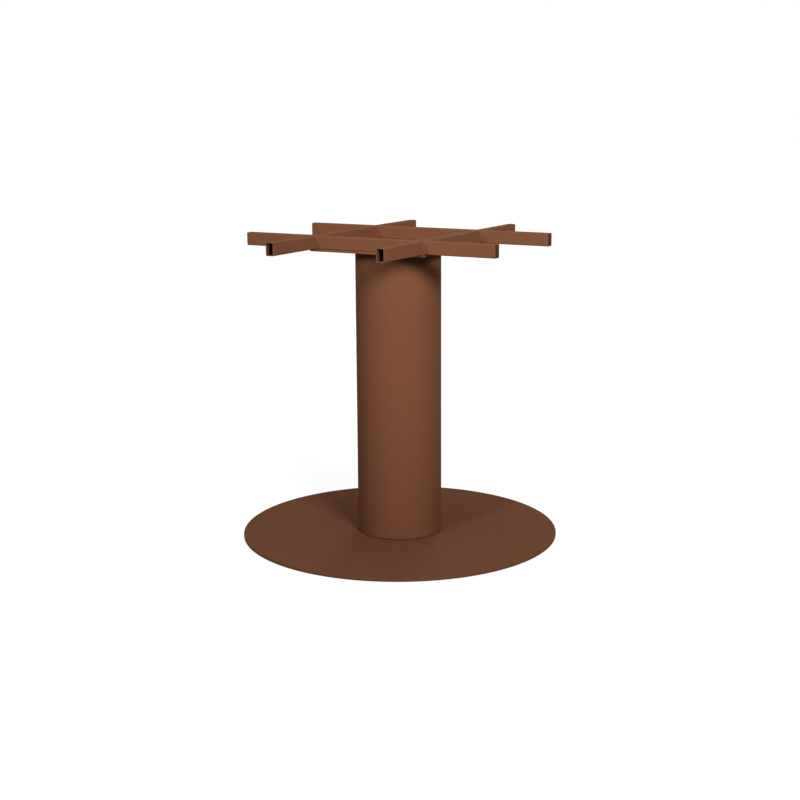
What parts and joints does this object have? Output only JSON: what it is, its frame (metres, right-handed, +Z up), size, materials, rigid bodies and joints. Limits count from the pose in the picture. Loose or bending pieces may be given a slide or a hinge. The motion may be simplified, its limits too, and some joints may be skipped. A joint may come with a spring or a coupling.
{
  "type": "round column table base",
  "caption": "Round column table base in powder-coated steel: a flat disc foot, a wide tube column and a frame of crossed hollow bars on a square plate that carries a table top.",
  "frame": {"origin": "on the floor, under the column's axis", "axes": "+Z up along the column, +X along the two whole bars, +Y along the two crossing bars"},
  "size_m": [0.7499, 0.75, 0.72],
  "materials": {
    "powder_coat": "satin",
    "zinc_plate": "satin",
    "pad": "matte"
  },
  "bodies": {
    "root": {"base_plate": "powder_coat", "column": "powder_coat", "lower_end_plate": "powder_coat", "upper_end_plate": "powder_coat", "top_plate": "powder_coat", "front_bar": "powder_coat", "rear_bar": "powder_coat", "left_front_stub": "powder_coat", "left_middle_bar": "powder_coat", "left_rear_stub": "powder_coat", "right_front_stub": "powder_coat", "right_middle_bar": "powder_coat", "right_rear_stub": "powder_coat", "frame_welds": "powder_coat", "base_screws": "zinc_plate", "top_bolts": "zinc_plate", "floor_pads": "pad"}
  },
  "joints": []
}
